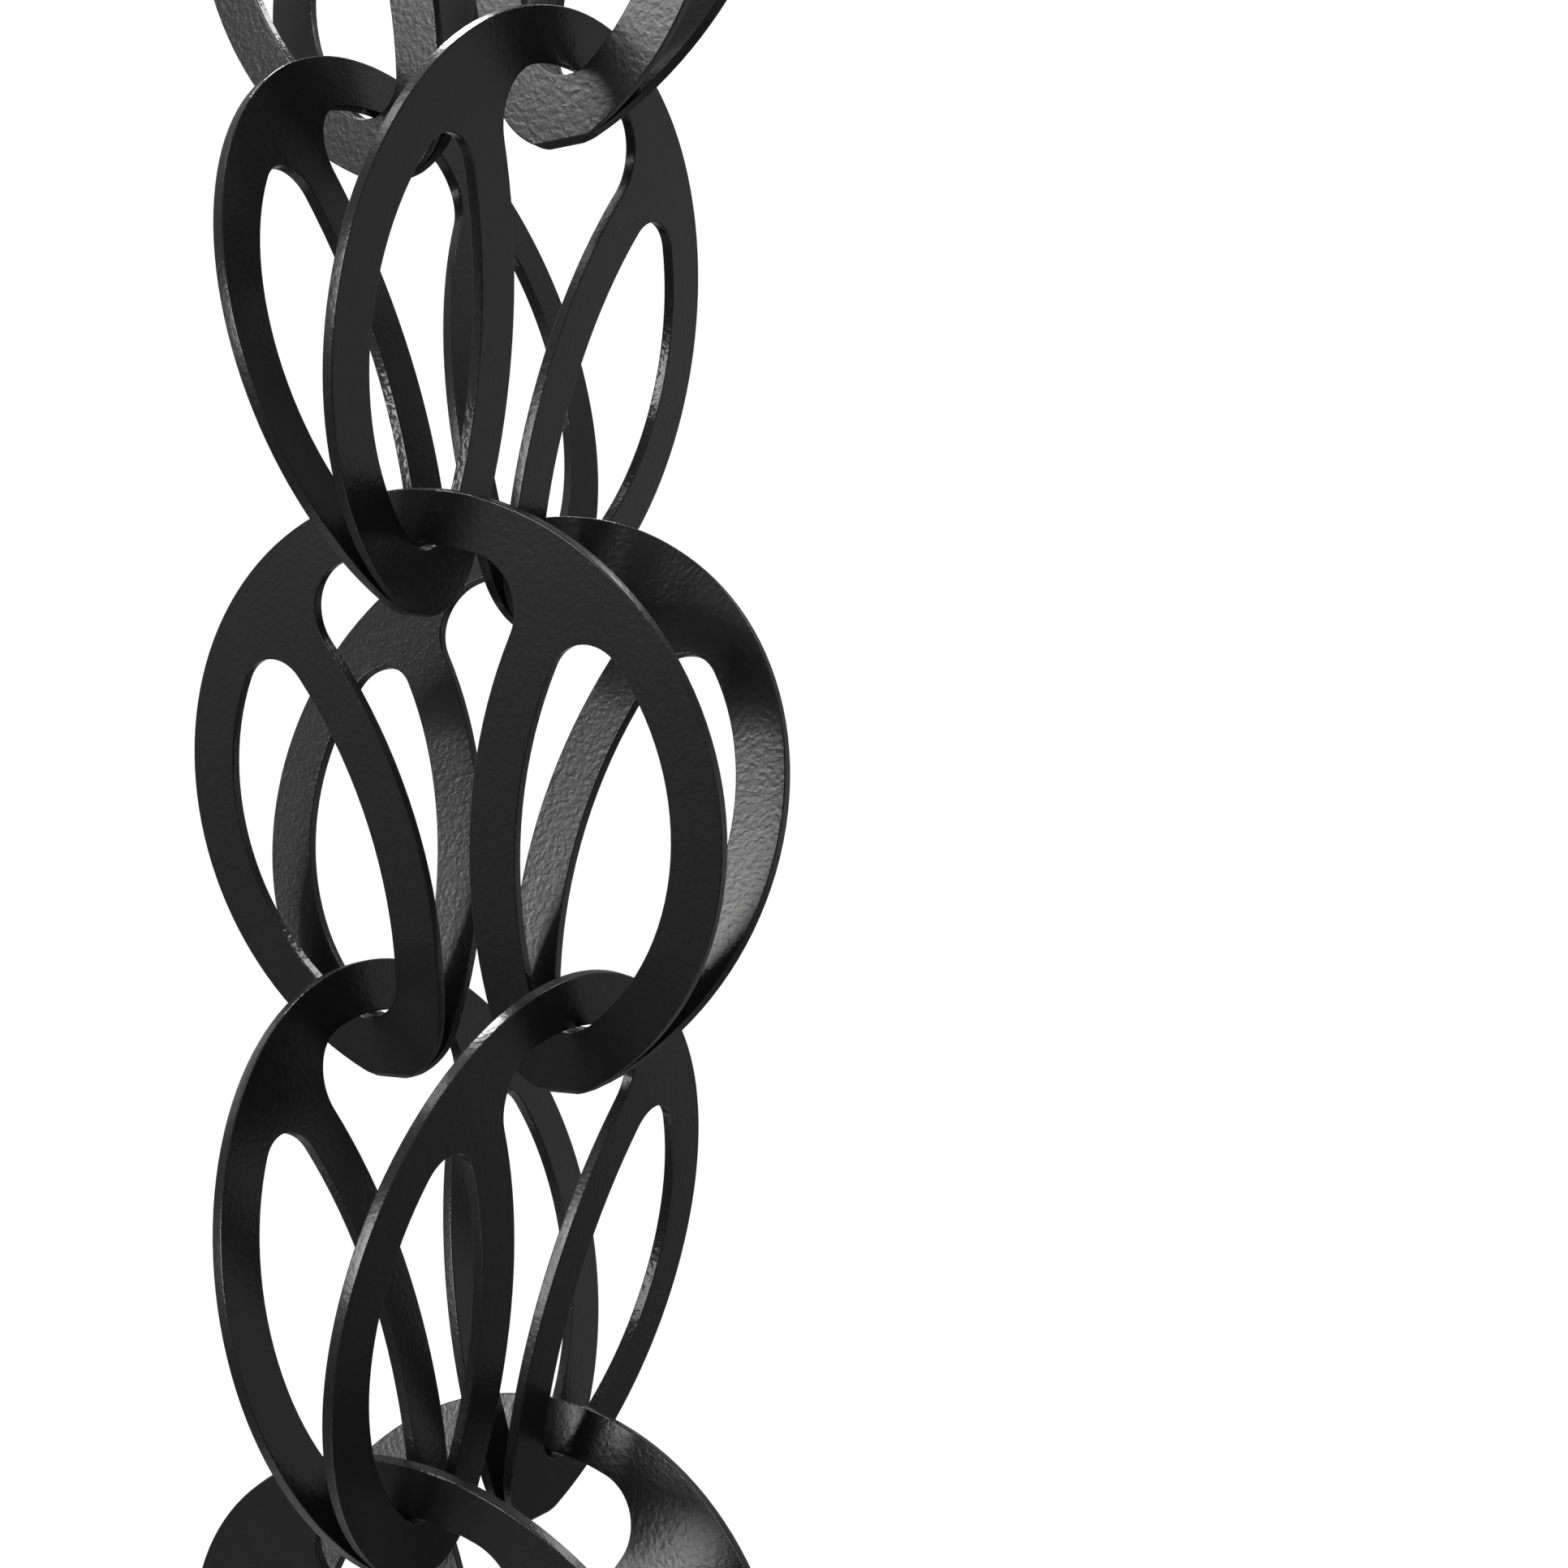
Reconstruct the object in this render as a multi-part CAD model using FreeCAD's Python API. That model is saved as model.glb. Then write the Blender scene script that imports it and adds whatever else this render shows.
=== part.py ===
import FreeCAD, Part
import math
import os

# Rain chain of folded sheet links. Each link is one flat blank with two round plates, folded once
# into a V that opens upward. The two arches of a link hang in the teardrop holes of the link above,
# and every other link is turned a quarter turn. The origin is the hanging point: the inner top edge
# of the top link's arches, on the chain's axis. Millimetres, +Z up.

# Chain
LINK_NAMES = ("top_link", "upper_link", "middle_link", "lower_link", "bottom_link")
QUARTER_TURN = 90.0
SEAT_CLEARANCE = 0.25
SEAT_OFFSET = 1.1

# Sheet and fold; the trim is the height that the fold leaves off the rounded foot of each lobe, and
# a shallow groove thins the sheet on its inside along the fold, so that it bends sharply
SHEET = 1.5
BEND_OUTSIDE_RADIUS = 1.0
FOLD_THICKNESS = 1.2
GROOVE_REACH = 7.0
FOLD_TRIM = 0.12

# Round plate and its openings, as cut in the flat blank
PLATE_RADIUS = 40.0
BAND_WIDTH = 6.8
SLOT_WIDTH = 6.3
SLOT_EDGE_RADIUS = 70.0
WAIST_DROP = 16.0
HOLE_CORNER_RADIUS = 5.2
KEYHOLE_CORNER_RADIUS = 6.7
LOBE_RADIUS = 9.0

# Spare length of the cutting shapes beyond the plate
CUT_MARGIN = 5.0

# Sizes that follow
WINDOW_RADIUS = PLATE_RADIUS - BAND_WIDTH
STRIP_RADIUS = SLOT_EDGE_RADIUS - BAND_WIDTH
INSIDE_OFFSET = BEND_OUTSIDE_RADIUS - SHEET
MIDDLE_OFFSET = BEND_OUTSIDE_RADIUS - SHEET / 2

# Centres in the blank: x across the plate, y up the plate, from the middle of the round plate
PLATE_CENTRE = FreeCAD.Vector(0, 0, 0)
STRIP_CENTRE = FreeCAD.Vector(SLOT_WIDTH / 2 + SLOT_EDGE_RADIUS, -WAIST_DROP, 0)


def toward(start, end, length):
    """Point at the given length from start, in the direction of end."""
    return start + (end - start).normalize() * length


def meeting_point(centre_a, radius_a, centre_b, radius_b, upper):
    """Upper or lower crossing of two circles whose centres lie side by side."""
    span = centre_b - centre_a
    along = (radius_a ** 2 - radius_b ** 2 + span.Length ** 2) / (2 * span.Length)
    across = math.sqrt(radius_a ** 2 - along ** 2)
    direction = FreeCAD.Vector(span).normalize()
    square = FreeCAD.Vector(-direction.y, direction.x, 0)
    return centre_a + direction * along + square * (across if upper else -across)


def arc(start, middle, end):
    """Edge of the circle through three points."""
    return Part.Arc(start, middle, end).toShape()


def corner_arc(centre, start, end, radius):
    """Rounded corner about its centre, from start to end the short way."""
    return arc(start, toward(centre, (start + end) / 2, radius), end)


def mirrored(point):
    """The same point on the left half of the plate."""
    return FreeCAD.Vector(-point.x, point.y, point.z)


# Centres of the rounded corners on the right half of the plate
HOLE_TOP = meeting_point(PLATE_CENTRE, WINDOW_RADIUS - HOLE_CORNER_RADIUS,
                         STRIP_CENTRE, STRIP_RADIUS - HOLE_CORNER_RADIUS, True)
HOLE_FOOT = meeting_point(PLATE_CENTRE, WINDOW_RADIUS - HOLE_CORNER_RADIUS,
                          STRIP_CENTRE, STRIP_RADIUS - HOLE_CORNER_RADIUS, False)
KEYHOLE_CORNER = meeting_point(PLATE_CENTRE, WINDOW_RADIUS - KEYHOLE_CORNER_RADIUS,
                               STRIP_CENTRE, SLOT_EDGE_RADIUS + KEYHOLE_CORNER_RADIUS, True)
LOBE = meeting_point(PLATE_CENTRE, PLATE_RADIUS - LOBE_RADIUS,
                     STRIP_CENTRE, SLOT_EDGE_RADIUS - LOBE_RADIUS, False)

# Drop of the bend's axis below the middle of the round plate
BEND_DROP = LOBE_RADIUS - LOBE.y - FOLD_TRIM - BEND_OUTSIDE_RADIUS

# The plates lean out so far that the arches stand over the feet of the holes above, by the seat
# offset outside the middle of the rounded foot
ARCH_REACH = WINDOW_RADIUS + BEND_DROP
SEAT_REACH = ARCH_REACH + HOLE_CORNER_RADIUS
LEAN = (math.asin((HOLE_FOOT.x + SEAT_OFFSET) / math.hypot(MIDDLE_OFFSET, SEAT_REACH))
        - math.atan2(MIDDLE_OFFSET, SEAT_REACH))

# Height of the fold's axis, with the inner top edge of the arches at zero
BEND_HEIGHT = MIDDLE_OFFSET * math.sin(LEAN) - ARCH_REACH * math.cos(LEAN)

# The arch hangs on the inner edges of the two seats, off its own middle, and its flat edge bridges
# the rounding of each seat
SEAT_RISE = HOLE_FOOT.y - HOLE_CORNER_RADIUS * math.cos(LEAN) + BEND_DROP
SEAT_HALF_GAP = INSIDE_OFFSET * math.cos(LEAN) + SEAT_RISE * math.sin(LEAN)
SEAT_HEIGHT = BEND_HEIGHT - INSIDE_OFFSET * math.sin(LEAN) + SEAT_RISE * math.cos(LEAN)
ARCH_SAG = WINDOW_RADIUS - math.sqrt(WINDOW_RADIUS ** 2 - SEAT_HALF_GAP ** 2)
SEAT_WEDGE = HOLE_CORNER_RADIUS - math.sqrt(HOLE_CORNER_RADIUS ** 2 - (SHEET / 2) ** 2)
PITCH = -(SEAT_HEIGHT + ARCH_SAG + SEAT_WEDGE + SEAT_CLEARANCE)


def hole_wire(place):
    """Teardrop hole between the rim and one side strip, with both of its corners rounded."""
    rim_top = toward(PLATE_CENTRE, HOLE_TOP, WINDOW_RADIUS)
    rim_foot = toward(PLATE_CENTRE, HOLE_FOOT, WINDOW_RADIUS)
    strip_top = toward(STRIP_CENTRE, HOLE_TOP, STRIP_RADIUS)
    strip_foot = toward(STRIP_CENTRE, HOLE_FOOT, STRIP_RADIUS)
    rim_side = toward(PLATE_CENTRE, (rim_top + rim_foot) / 2, WINDOW_RADIUS)
    strip_side = toward(STRIP_CENTRE, (strip_top + strip_foot) / 2, STRIP_RADIUS)
    return Part.Wire([
        arc(place(rim_foot), place(rim_side), place(rim_top)),
        corner_arc(place(HOLE_TOP), place(rim_top), place(strip_top), HOLE_CORNER_RADIUS),
        arc(place(strip_top), place(strip_side), place(strip_foot)),
        corner_arc(place(HOLE_FOOT), place(strip_foot), place(rim_foot), HOLE_CORNER_RADIUS),
    ])


def plate_wire():
    """Outline of the round plate with two lobes at its foot and a keyhole slot between them."""
    top = FreeCAD.Vector(0, PLATE_RADIUS, 0)
    crown = FreeCAD.Vector(0, WINDOW_RADIUS, 0)
    head = toward(PLATE_CENTRE, KEYHOLE_CORNER, WINDOW_RADIUS)
    shoulder = toward(STRIP_CENTRE, KEYHOLE_CORNER, SLOT_EDGE_RADIUS)
    ankle = toward(STRIP_CENTRE, LOBE, SLOT_EDGE_RADIUS)
    waist = toward(STRIP_CENTRE, (shoulder + ankle) / 2, SLOT_EDGE_RADIUS)
    heel = toward(PLATE_CENTRE, LOBE, PLATE_RADIUS)
    edges = [arc(mirrored(heel), top, heel), arc(mirrored(head), crown, head)]
    for place in (FreeCAD.Vector, mirrored):
        edges += [
            corner_arc(place(KEYHOLE_CORNER), place(head), place(shoulder), KEYHOLE_CORNER_RADIUS),
            arc(place(shoulder), place(waist), place(ankle)),
            corner_arc(place(LOBE), place(ankle), place(heel), LOBE_RADIUS),
        ]
    return Part.Wire(Part.__sortEdges__(edges))


def blank_prism():
    """Outline of one plate as cut in the flat blank, thick enough to cut through the bend as well."""
    outline = Part.Face(plate_wire())
    outline = outline.cut([
        Part.Face(hole_wire(FreeCAD.Vector)),
        Part.Face(hole_wire(mirrored)),
    ])
    depth = 2 * (BEND_OUTSIDE_RADIUS + CUT_MARGIN)
    prism = outline.extrude(FreeCAD.Vector(0, 0, depth))
    prism.translate(FreeCAD.Vector(0, BEND_DROP, -depth / 2))
    prism.rotate(FreeCAD.Vector(0, 0, 0), FreeCAD.Vector(1, 0, 0), QUARTER_TURN - math.degrees(LEAN))
    prism.translate(FreeCAD.Vector(0, 0, BEND_HEIGHT))
    return prism


def half_sheet():
    """One side of the sheet: half of the bend and a leaning wall, wider and taller than the plate."""
    width = 2 * (PLATE_RADIUS + CUT_MARGIN)
    bend = FreeCAD.Vector(-width / 2, 0, BEND_HEIGHT)
    outward = FreeCAD.Vector(0, math.cos(LEAN), -math.sin(LEAN))
    rise = FreeCAD.Vector(0, math.sin(LEAN), math.cos(LEAN))
    climb = rise * width
    halfway = FreeCAD.Vector(0, math.cos(LEAN), -1 - math.sin(LEAN))
    outer_low = bend - FreeCAD.Vector(0, 0, BEND_OUTSIDE_RADIUS)
    inner_low = outer_low + FreeCAD.Vector(0, 0, FOLD_THICKNESS)
    outer_foot = bend + outward * BEND_OUTSIDE_RADIUS
    inner_foot = bend + outward * INSIDE_OFFSET + rise * GROOVE_REACH
    inner_top = bend + outward * INSIDE_OFFSET + climb
    profile = Part.Wire([
        arc(outer_low, toward(bend, bend + halfway, BEND_OUTSIDE_RADIUS), outer_foot),
        Part.LineSegment(outer_foot, outer_foot + climb).toShape(),
        Part.LineSegment(outer_foot + climb, inner_top).toShape(),
        Part.LineSegment(inner_top, inner_foot).toShape(),
        Part.LineSegment(inner_foot, inner_low).toShape(),
        Part.LineSegment(inner_low, outer_low).toShape(),
    ])
    return Part.Face(profile).extrude(FreeCAD.Vector(width, 0, 0))


def make_link():
    """One link with its fold along X and the inner top edge of its arches at the origin's height."""
    back = half_sheet().common(blank_prism())
    front = back.mirror(FreeCAD.Vector(0, 0, 0), FreeCAD.Vector(0, 1, 0))
    return back.fuse(front).removeSplitter().Solids[0]


def main():
    os.makedirs("parts", exist_ok=True)
    link = make_link()
    for index, name in enumerate(LINK_NAMES):
        placed = link.copy()
        placed.rotate(FreeCAD.Vector(0, 0, 0), FreeCAD.Vector(0, 0, 1), QUARTER_TURN * (index % 2))
        placed.translate(FreeCAD.Vector(0, 0, -PITCH * index))
        placed.exportStep("parts/" + name + ".step")
    print("lean", math.degrees(LEAN), "pitch", PITCH, "volume of a link", link.Volume)


main()
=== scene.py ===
"""Rain chain of folded sheet links in satin black powder coat, dressed and set on a pale stage."""

import math

import bpy
from bpy.props import FloatProperty, FloatVectorProperty, PointerProperty
from bpy.types import Operator, Panel, PropertyGroup
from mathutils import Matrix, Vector


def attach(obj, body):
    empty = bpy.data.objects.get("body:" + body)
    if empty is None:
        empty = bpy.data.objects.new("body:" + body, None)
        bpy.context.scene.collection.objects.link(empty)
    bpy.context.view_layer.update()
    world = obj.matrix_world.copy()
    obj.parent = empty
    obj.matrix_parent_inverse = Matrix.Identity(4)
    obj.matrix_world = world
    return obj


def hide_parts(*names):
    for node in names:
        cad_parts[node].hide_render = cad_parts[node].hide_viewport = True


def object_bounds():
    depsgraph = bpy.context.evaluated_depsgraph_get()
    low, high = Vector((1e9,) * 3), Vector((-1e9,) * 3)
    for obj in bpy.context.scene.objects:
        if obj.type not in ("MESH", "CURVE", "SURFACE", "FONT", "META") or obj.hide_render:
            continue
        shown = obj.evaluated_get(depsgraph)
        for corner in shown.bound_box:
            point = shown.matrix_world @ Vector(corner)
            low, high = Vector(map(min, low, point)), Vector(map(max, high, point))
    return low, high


bl_info = {
    "name": "Folded Link Rain Chain",
    "version": (1, 0, 0),
    "blender": (4, 5, 0),
    "location": "3D View > Sidebar > Rain Chain",
    "description": "Dresses a rain chain of folded sheet links in powder coat and sets its stage",
    "category": "Object",
}

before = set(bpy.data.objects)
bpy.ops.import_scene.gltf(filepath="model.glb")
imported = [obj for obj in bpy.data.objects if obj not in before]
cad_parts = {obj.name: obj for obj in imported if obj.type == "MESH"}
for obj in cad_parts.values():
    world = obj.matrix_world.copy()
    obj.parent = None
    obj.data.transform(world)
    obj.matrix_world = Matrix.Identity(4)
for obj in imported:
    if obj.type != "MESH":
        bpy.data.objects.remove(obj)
CHAIN_LOW, CHAIN_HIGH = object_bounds()
CHAIN_MIDDLE = (CHAIN_LOW + CHAIN_HIGH) / 2
LINK_NAMES = ("top_link", "upper_link", "middle_link", "lower_link", "bottom_link")

# Finding the plates on a link's mesh: points closer than the weld join, faces flatter than the flat
# angle merge, faces above a share of the widest one are plates, and a plate ends at its edge angle
WELD_DISTANCE = 1e-6
FLAT_ANGLE = math.radians(0.5)
PLATE_AREA_SHARE = 0.25
PLATE_EDGE_ANGLE = math.radians(40.0)

# Rounding of the cut edges
ROUNDING_ANGLE = math.radians(50.0)
ROUNDING_STEPS = 3

# Powder coat: smoothest and roughest spots on plates and on cut edges, and the creases' share in the
# grain's height, below zero because they lie lower than the lumps
COAT_IOR = 1.5
PLATE_ROUGHNESS = (0.22, 0.28)
EDGE_ROUGHNESS = (0.15, 0.20)
LUMP_DETAIL = 0.6
LUMP_DISTORTION = 0.6
CREASE_SMOOTHNESS = 0.6
CREASE_SHARE = -0.3
CLOUDS_PER_METRE = 60.0
CLOUD_DETAIL = 4.0

# Floor, and the share of white that the camera sees on it
FLOOR_SIDES = 96
FLOOR_ROUGHNESS = 0.9
FLOOR_WHITE_SHARE = 0.7

# Camera body: sensor in millimetres, nearest visible distance in metres
SENSOR_WIDTH = 36.0
CAMERA_NEAR = 0.01

# Softboxes by name: bearing from +X and rise in degrees, distance in metres, width and height in
# degrees, glow
SOFTBOXES = (
    ("window_softbox", 252.5, 10.8, 2.5, 29.0, 23.0, 11.4),
    ("overhead_softbox", 148.0, 66.0, 0.4, 14.0, 8.0, 46.0),
    ("front_softbox", 223.0, 61.0, 1.0, 14.0, 8.0, 6.5),
    ("rear_softbox", 63.5, 48.5, 1.5, 19.0, 8.0, 8.5),
    ("side_softbox", 178.0, 30.0, 2.5, 36.0, 12.0, 1.2),
)

# Glow of the studio's walls by rise over the horizon in degrees
STUDIO_TONES = (
    (-90.0, 0.45), (-50.0, 0.2), (-30.0, 0.08), (-18.0, 0.19), (-8.0, 0.36), (3.0, 0.38),
    (12.0, 0.26), (21.0, 0.16), (40.0, 0.33), (90.0, 0.5),
)


class CoatSettings(PropertyGroup):
    """Colour and surface of the powder coat"""

    colour: FloatVectorProperty(
        name="Colour", description="Black of the powder coat", subtype="COLOR",
        size=4, min=0.0, max=1.0, default=(0.009, 0.009, 0.0092, 1.0))
    haze_colour: FloatVectorProperty(
        name="Haze Colour", description="Tone of the coat on top of its lumps", subtype="COLOR",
        size=4, min=0.0, max=1.0, default=(0.014, 0.014, 0.0143, 1.0))
    grain_size: FloatProperty(
        name="Grain Size", description="Width of one lump of the leathery grain",
        unit="LENGTH", default=0.00072)
    grain_depth: FloatProperty(
        name="Grain Depth", description="Height of the leathery grain on the plates",
        unit="LENGTH", default=0.000028)
    edge_grain_depth: FloatProperty(
        name="Edge Grain Depth", description="Height of the rougher grain on the cut edges",
        unit="LENGTH", default=0.00005)
    edge_round: FloatProperty(
        name="Edge Rounding", description="Width of the coat's rounding along each cut edge",
        unit="LENGTH", default=0.00018)


class StageSettings(PropertyGroup):
    """Floor and camera around the chain"""

    floor_colour: FloatVectorProperty(
        name="Floor Colour", description="Pale colour of the floor", subtype="COLOR",
        size=4, min=0.0, max=1.0, default=(0.8, 0.8, 0.8, 1.0))
    floor_drop: FloatProperty(
        name="Floor Drop", description="Height of the chain's lowest point over the floor",
        unit="LENGTH", default=0.5)
    floor_radius: FloatProperty(
        name="Floor Radius", description="Radius of the round floor", unit="LENGTH", default=0.5)
    camera_place: FloatVectorProperty(
        name="Camera Place", description="Where the camera stands", subtype="TRANSLATION",
        size=3, default=(0.15693, -0.22895, -0.14985))
    camera_heading: FloatProperty(
        name="Camera Heading", description="Turn of the camera about the upright, from looking along +Y",
        subtype="ANGLE", default=math.radians(34.499))
    camera_tilt: FloatProperty(
        name="Camera Tilt", description="Rise of the camera's line of sight over the horizon",
        subtype="ANGLE", default=math.radians(0.287))
    camera_lens: FloatProperty(
        name="Lens", description="Focal length on a 36 mm sensor",
        subtype="DISTANCE_CAMERA", default=49.35)
    camera_shift: FloatProperty(
        name="Camera Shift", description="Sideways shift that sets the chain left of the picture's middle",
        subtype="FACTOR", default=0.1973)


class RainChainSettings(PropertyGroup):
    """All settings of the rain chain"""

    coat: PointerProperty(type=CoatSettings)
    stage: PointerProperty(type=StageSettings)


def select_only(piece):
    """Leave one object selected and active."""
    bpy.ops.object.select_all(action="DESELECT")
    piece.select_set(True)
    bpy.context.view_layer.objects.active = piece


def link_nodes(tree, source, target):
    """Join an output socket to an input socket."""
    tree.links.new(source, target)


def leathery_grain():
    """Node group with the height, gloss and tone of a powder coat's leathery grain."""
    group = bpy.data.node_groups.new("leathery_grain", "ShaderNodeTree")
    sockets = group.interface
    sockets.new_socket("Vector", in_out="INPUT", socket_type="NodeSocketVector")
    sockets.new_socket("Lumps per Metre", in_out="INPUT", socket_type="NodeSocketFloat")
    sockets.new_socket("Colour", in_out="INPUT", socket_type="NodeSocketColor")
    sockets.new_socket("Haze Colour", in_out="INPUT", socket_type="NodeSocketColor")
    sockets.new_socket("Smooth Roughness", in_out="INPUT", socket_type="NodeSocketFloat")
    sockets.new_socket("Rough Roughness", in_out="INPUT", socket_type="NodeSocketFloat")
    sockets.new_socket("Height", in_out="OUTPUT", socket_type="NodeSocketFloat")
    sockets.new_socket("Roughness", in_out="OUTPUT", socket_type="NodeSocketFloat")
    sockets.new_socket("Coat Colour", in_out="OUTPUT", socket_type="NodeSocketColor")

    nodes = group.nodes
    given = nodes.new("NodeGroupInput")
    made = nodes.new("NodeGroupOutput")

    lumps = nodes.new("ShaderNodeTexNoise")
    lumps.inputs["Detail"].default_value = LUMP_DETAIL
    lumps.inputs["Distortion"].default_value = LUMP_DISTORTION
    link_nodes(group, given.outputs["Vector"], lumps.inputs["Vector"])
    link_nodes(group, given.outputs["Lumps per Metre"], lumps.inputs["Scale"])

    creases = nodes.new("ShaderNodeTexVoronoi")
    creases.feature = "SMOOTH_F1"
    creases.inputs["Smoothness"].default_value = CREASE_SMOOTHNESS
    link_nodes(group, given.outputs["Vector"], creases.inputs["Vector"])
    link_nodes(group, given.outputs["Lumps per Metre"], creases.inputs["Scale"])

    height = nodes.new("ShaderNodeMath")
    height.operation = "MULTIPLY_ADD"
    height.inputs[1].default_value = CREASE_SHARE
    link_nodes(group, creases.outputs["Distance"], height.inputs[0])
    link_nodes(group, lumps.outputs["Fac"], height.inputs[2])
    link_nodes(group, height.outputs[0], made.inputs["Height"])

    clouds = nodes.new("ShaderNodeTexNoise")
    clouds.inputs["Scale"].default_value = CLOUDS_PER_METRE
    clouds.inputs["Detail"].default_value = CLOUD_DETAIL
    link_nodes(group, given.outputs["Vector"], clouds.inputs["Vector"])

    gloss = nodes.new("ShaderNodeMix")
    gloss.data_type = "FLOAT"
    link_nodes(group, clouds.outputs["Fac"], gloss.inputs["Factor"])
    link_nodes(group, given.outputs["Smooth Roughness"], gloss.inputs["A"])
    link_nodes(group, given.outputs["Rough Roughness"], gloss.inputs["B"])
    link_nodes(group, gloss.outputs["Result"], made.inputs["Roughness"])

    tone = nodes.new("ShaderNodeMix")
    tone.data_type = "RGBA"
    tone_inputs = [socket for socket in tone.inputs if socket.type == "RGBA"]
    tone_result = [socket for socket in tone.outputs if socket.type == "RGBA"][0]
    link_nodes(group, lumps.outputs["Fac"], tone.inputs["Factor"])
    link_nodes(group, given.outputs["Colour"], tone_inputs[0])
    link_nodes(group, given.outputs["Haze Colour"], tone_inputs[1])
    link_nodes(group, tone_result, made.inputs["Coat Colour"])
    return group


def powder_coat(name, grain, settings, depth, roughness):
    """Satin black powder coat with its grain as bump."""
    material = bpy.data.materials.new(name)
    material.use_nodes = True
    tree = material.node_tree
    shader = tree.nodes["Principled BSDF"]
    shader.inputs["IOR"].default_value = COAT_IOR

    place = tree.nodes.new("ShaderNodeTexCoord")
    coat = tree.nodes.new("ShaderNodeGroup")
    coat.node_tree = grain
    coat.inputs["Lumps per Metre"].default_value = 1 / settings.grain_size
    coat.inputs["Colour"].default_value = settings.colour
    coat.inputs["Haze Colour"].default_value = settings.haze_colour
    coat.inputs["Smooth Roughness"].default_value = roughness[0]
    coat.inputs["Rough Roughness"].default_value = roughness[1]
    bump = tree.nodes.new("ShaderNodeBump")
    bump.inputs["Distance"].default_value = depth
    link_nodes(tree, place.outputs["Object"], coat.inputs["Vector"])
    link_nodes(tree, coat.outputs["Coat Colour"], shader.inputs["Base Color"])
    link_nodes(tree, coat.outputs["Roughness"], shader.inputs["Roughness"])
    link_nodes(tree, coat.outputs["Height"], bump.inputs["Height"])
    link_nodes(tree, bump.outputs["Normal"], shader.inputs["Normal"])
    return material


def weld_faces(piece):
    """Join the points of a link's mesh and merge its coplanar triangles; the link stays active."""
    select_only(piece)
    bpy.ops.object.mode_set(mode="EDIT")
    bpy.ops.mesh.select_mode(type="FACE")
    bpy.ops.mesh.select_all(action="SELECT")
    bpy.ops.mesh.customdata_custom_splitnormals_clear()
    bpy.ops.mesh.remove_doubles(threshold=WELD_DISTANCE)
    bpy.ops.mesh.dissolve_limited(angle_limit=FLAT_ANGLE)
    bpy.ops.mesh.select_all(action="DESELECT")
    bpy.ops.object.mode_set(mode="OBJECT")


def coat_plates_and_edges(piece, plate_coat, edge_coat):
    """Give the broad faces the plates' coat and all other faces the cut edges' coat."""
    piece.data.materials.clear()
    piece.data.materials.append(plate_coat)
    piece.data.materials.append(edge_coat)
    widest = max(face.area for face in piece.data.polygons)
    for face in piece.data.polygons:
        face.material_index = 1
        face.select = face.area > widest * PLATE_AREA_SHARE
    bpy.ops.object.mode_set(mode="EDIT")
    bpy.ops.mesh.faces_select_linked_flat(sharpness=PLATE_EDGE_ANGLE)
    piece.active_material_index = 0
    bpy.ops.object.material_slot_assign()
    bpy.ops.object.mode_set(mode="OBJECT")


def round_edges(piece, edge_round):
    """Round the cut edges and keep the plates flat in the light."""
    rounding = piece.modifiers.new("rounded_edges", "BEVEL")
    rounding.limit_method = "ANGLE"
    rounding.angle_limit = ROUNDING_ANGLE
    rounding.width = edge_round
    rounding.segments = ROUNDING_STEPS
    rounding.material = 1
    bpy.ops.object.modifier_apply(modifier=rounding.name)
    bpy.ops.object.shade_smooth_by_angle(angle=PLATE_EDGE_ANGLE)
    flats = piece.modifiers.new("flat_plates", "WEIGHTED_NORMAL")
    flats.mode = "FACE_AREA"
    flats.keep_sharp = True
    bpy.ops.object.modifier_apply(modifier=flats.name)


def coated_link(node, plate_coat, edge_coat, edge_round):
    """Welded copy of a link with rounded cut edges, plates and cut edges each in their own coat."""
    piece = bpy.data.objects.new(node.name + "_coated", node.data.copy())
    bpy.context.scene.collection.objects.link(piece)
    weld_faces(piece)
    coat_plates_and_edges(piece, plate_coat, edge_coat)
    round_edges(piece, edge_round)
    return piece


class RAINCHAIN_OT_coat_links(Operator):
    """Dress the five folded links in black powder coat with rounded cut edges"""

    bl_idname = "rain_chain.coat_links"
    bl_label = "Coat Links"

    def execute(self, context):
        settings = context.scene.rain_chain.coat
        grain = leathery_grain()
        plate_coat = powder_coat("coat_on_plates", grain, settings, settings.grain_depth, PLATE_ROUGHNESS)
        edge_coat = powder_coat("coat_on_edges", grain, settings, settings.edge_grain_depth, EDGE_ROUGHNESS)
        for name in LINK_NAMES:
            piece = coated_link(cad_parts[name], plate_coat, edge_coat, settings.edge_round)
            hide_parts(name)
            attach(piece, name)
        return {"FINISHED"}


def floor_material(colour):
    """Pale floor that the camera sees near white and that still takes a shadow."""
    material = bpy.data.materials.new("pale_floor")
    material.use_nodes = True
    tree = material.node_tree
    matt = tree.nodes["Principled BSDF"]
    matt.inputs["Base Color"].default_value = colour
    matt.inputs["Roughness"].default_value = FLOOR_ROUGHNESS
    path = tree.nodes.new("ShaderNodeLightPath")
    glow = tree.nodes.new("ShaderNodeEmission")
    both = tree.nodes.new("ShaderNodeMixShader")
    share = tree.nodes.new("ShaderNodeMath")
    share.operation = "MULTIPLY"
    share.inputs[1].default_value = FLOOR_WHITE_SHARE
    link_nodes(tree, path.outputs["Is Camera Ray"], share.inputs[0])
    link_nodes(tree, share.outputs[0], both.inputs["Fac"])
    link_nodes(tree, matt.outputs["BSDF"], both.inputs[1])
    link_nodes(tree, glow.outputs["Emission"], both.inputs[2])
    link_nodes(tree, both.outputs["Shader"], tree.nodes["Material Output"].inputs["Surface"])
    return material


def grey(tone):
    """Opaque grey of one tone."""
    return (tone, tone, tone, 1.0)


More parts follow.
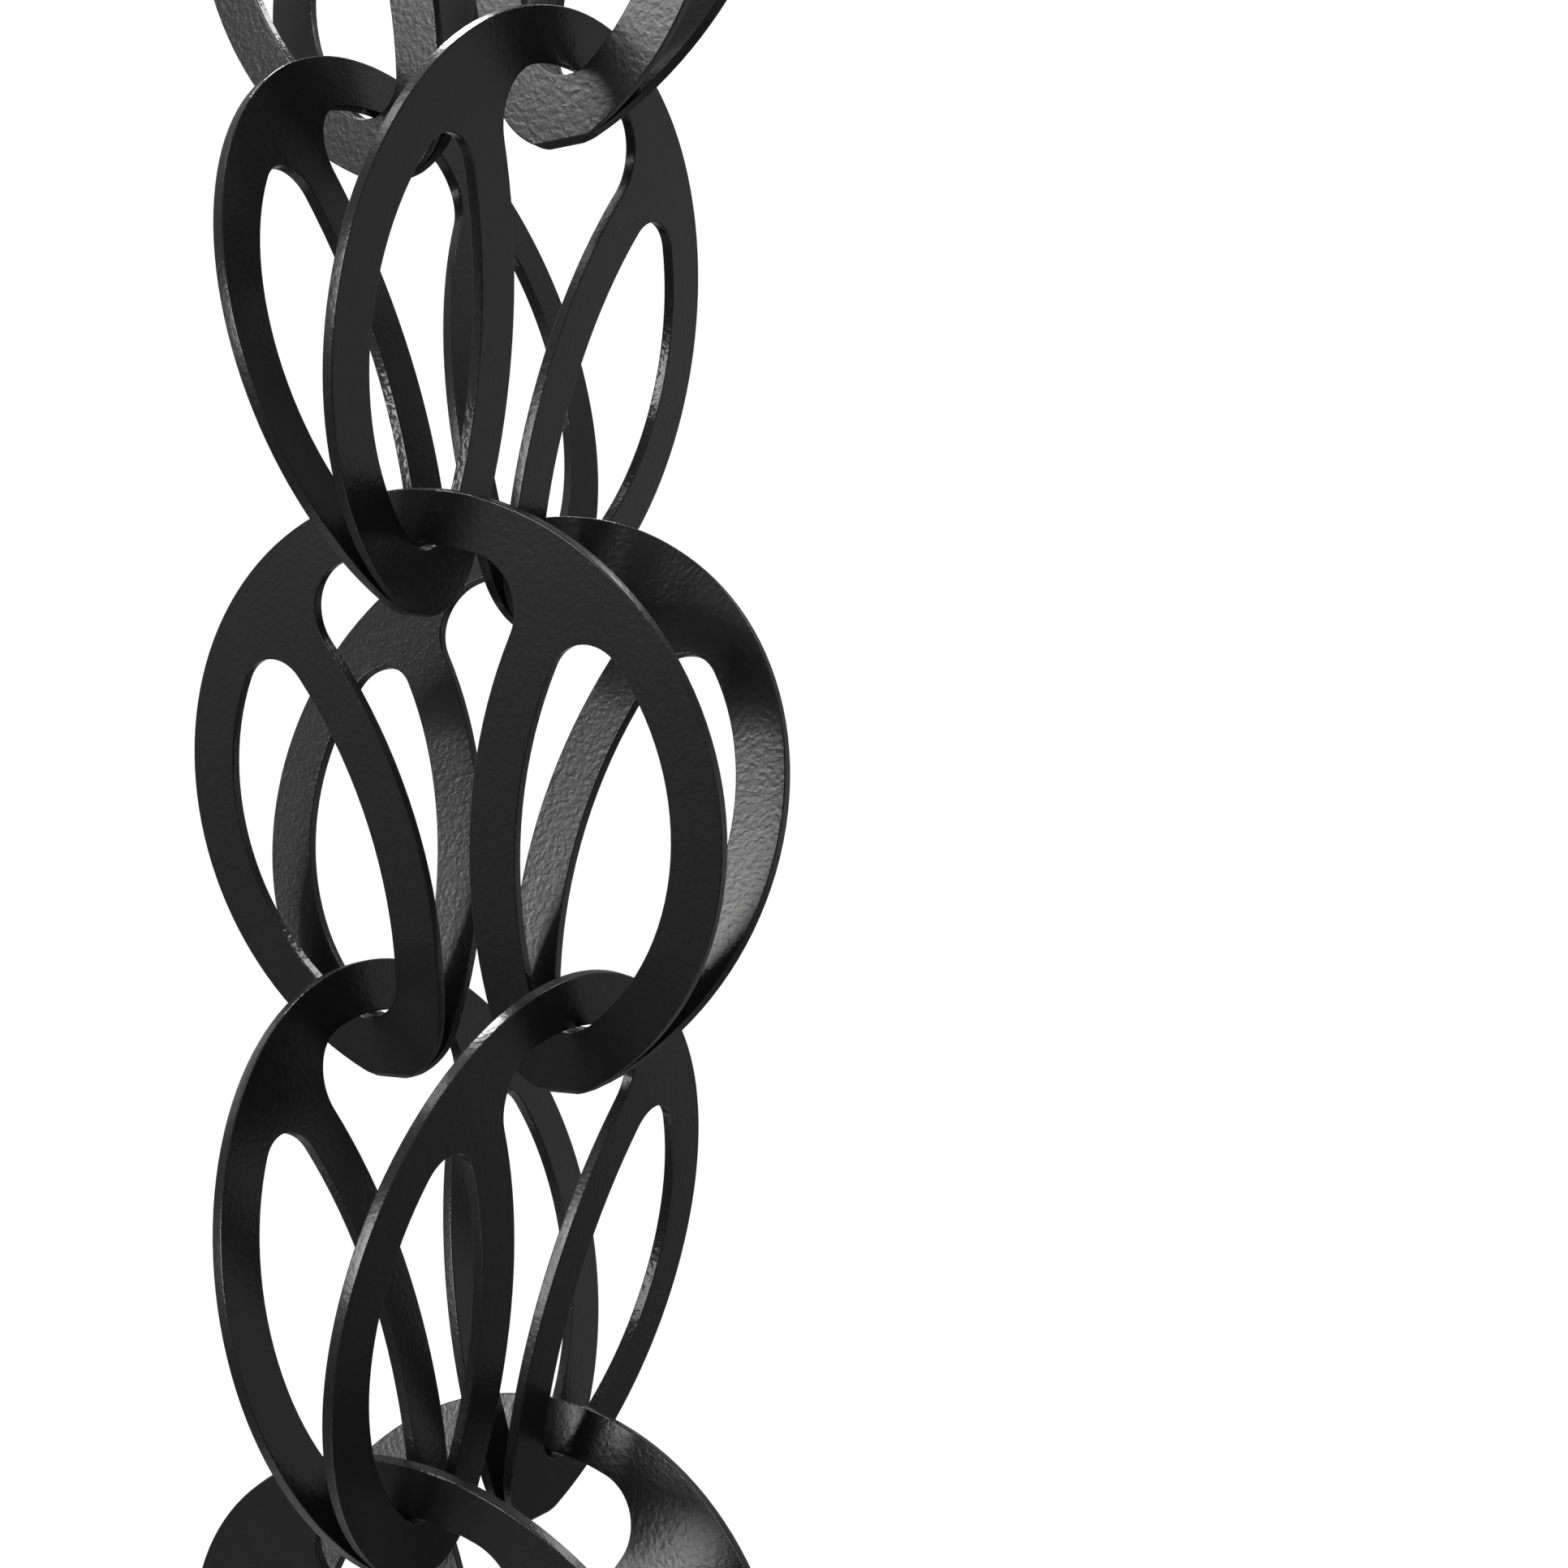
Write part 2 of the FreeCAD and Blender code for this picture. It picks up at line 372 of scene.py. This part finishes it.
def studio_world():
    """White backdrop for the camera, and for the light a studio whose walls glow by height."""
    world = bpy.data.worlds.new("studio")
    world.use_nodes = True
    tree = world.node_tree
    studio = tree.nodes["Background"]
    place = tree.nodes.new("ShaderNodeTexCoord")
    split = tree.nodes.new("ShaderNodeSeparateXYZ")
    height = tree.nodes.new("ShaderNodeMapRange")
    height.inputs["From Min"].default_value = -1.0
    height.inputs["From Max"].default_value = 1.0
    ramp = tree.nodes.new("ShaderNodeValToRGB")
    stops = ramp.color_ramp.elements
    stops[0].position = 0.0
    stops[1].position = 1.0
    stops[0].color = grey(STUDIO_TONES[0][1])
    stops[1].color = grey(STUDIO_TONES[-1][1])
    for rise, tone in STUDIO_TONES[1:-1]:
        stops.new((math.sin(math.radians(rise)) + 1) / 2).color = grey(tone)
    link_nodes(tree, place.outputs["Generated"], split.inputs["Vector"])
    link_nodes(tree, split.outputs["Z"], height.inputs["Value"])
    link_nodes(tree, height.outputs["Result"], ramp.inputs["Fac"])
    link_nodes(tree, ramp.outputs["Color"], studio.inputs["Color"])

    backdrop = tree.nodes.new("ShaderNodeBackground")
    backdrop.inputs["Color"].default_value = grey(1.0)
    path = tree.nodes.new("ShaderNodeLightPath")
    both = tree.nodes.new("ShaderNodeMixShader")
    link_nodes(tree, path.outputs["Is Camera Ray"], both.inputs["Fac"])
    link_nodes(tree, studio.outputs["Background"], both.inputs[1])
    link_nodes(tree, backdrop.outputs["Background"], both.inputs[2])
    link_nodes(tree, both.outputs["Shader"], tree.nodes["World Output"].inputs["Surface"])
    return world


def softbox(name, bearing, rise, distance, width, height, glow):
    """Area lamp that faces the middle of the chain from a bearing and a rise over the horizon."""
    level = math.cos(math.radians(rise))
    away = Vector((
        math.cos(math.radians(bearing)) * level,
        math.sin(math.radians(bearing)) * level,
        math.sin(math.radians(rise))))
    bpy.ops.object.light_add(
        type="AREA", location=CHAIN_MIDDLE + away * distance,
        rotation=away.to_track_quat("Z", "Y").to_euler())
    lamp = bpy.context.object
    lamp.name = name
    lamp.data.shape = "RECTANGLE"
    lamp.data.size = 2 * distance * math.tan(math.radians(width / 2))
    lamp.data.size_y = 2 * distance * math.tan(math.radians(height / 2))
    lamp.data.energy = glow * math.pi * lamp.data.size * lamp.data.size_y
    lamp.visible_camera = False


class RAINCHAIN_OT_set_stage(Operator):
    """Set the pale floor, white backdrop, softboxes and camera around the hanging chain"""

    bl_idname = "rain_chain.set_stage"
    bl_label = "Set Stage"

    def execute(self, context):
        settings = context.scene.rain_chain.stage
        bpy.ops.object.select_all(action="DESELECT")
        bpy.ops.mesh.primitive_circle_add(
            vertices=FLOOR_SIDES, radius=settings.floor_radius, fill_type="NGON",
            location=(0.0, 0.0, CHAIN_LOW.z - settings.floor_drop))
        floor = context.object
        floor.name = "floor"
        floor.data.materials.append(floor_material(settings.floor_colour))
        bpy.ops.object.transform_apply(location=True, rotation=True, scale=True)

        for box in SOFTBOXES:
            softbox(*box)

        bpy.ops.object.camera_add(
            location=settings.camera_place,
            rotation=(math.radians(90.0) + settings.camera_tilt, 0.0, settings.camera_heading))
        camera = context.object
        camera.data.sensor_width = SENSOR_WIDTH
        camera.data.lens = settings.camera_lens
        camera.data.shift_x = settings.camera_shift
        camera.data.clip_start = CAMERA_NEAR
        context.scene.camera = camera
        context.scene.world = studio_world()
        context.scene.view_settings.view_transform = "Standard"
        return {"FINISHED"}


class RAINCHAIN_PT_sidebar(Panel):
    """Sidebar of the rain chain"""

    bl_label = "Rain Chain"
    bl_idname = "RAINCHAIN_PT_sidebar"
    bl_space_type = "VIEW_3D"
    bl_region_type = "UI"
    bl_category = "Rain Chain"

    def draw(self, context):
        settings = context.scene.rain_chain
        for group in (settings.coat, settings.stage):
            column = self.layout.column()
            for name in group.bl_rna.properties.keys():
                if name not in ("rna_type", "name"):
                    column.prop(group, name)
        self.layout.operator(RAINCHAIN_OT_coat_links.bl_idname)
        self.layout.operator(RAINCHAIN_OT_set_stage.bl_idname)


CLASSES = (
    CoatSettings,
    StageSettings,
    RainChainSettings,
    RAINCHAIN_OT_coat_links,
    RAINCHAIN_OT_set_stage,
    RAINCHAIN_PT_sidebar,
)


def register():
    """Add the settings, operators and panel to Blender."""
    for kind in CLASSES:
        bpy.utils.register_class(kind)
    bpy.types.Scene.rain_chain = PointerProperty(type=RainChainSettings)


def unregister():
    """Take the settings, operators and panel out of Blender."""
    del bpy.types.Scene.rain_chain
    for kind in reversed(CLASSES):
        bpy.utils.unregister_class(kind)


def main():
    """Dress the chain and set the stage."""
    register()
    bpy.ops.rain_chain.coat_links()
    bpy.ops.rain_chain.set_stage()


if __name__ == "__main__":
    main()
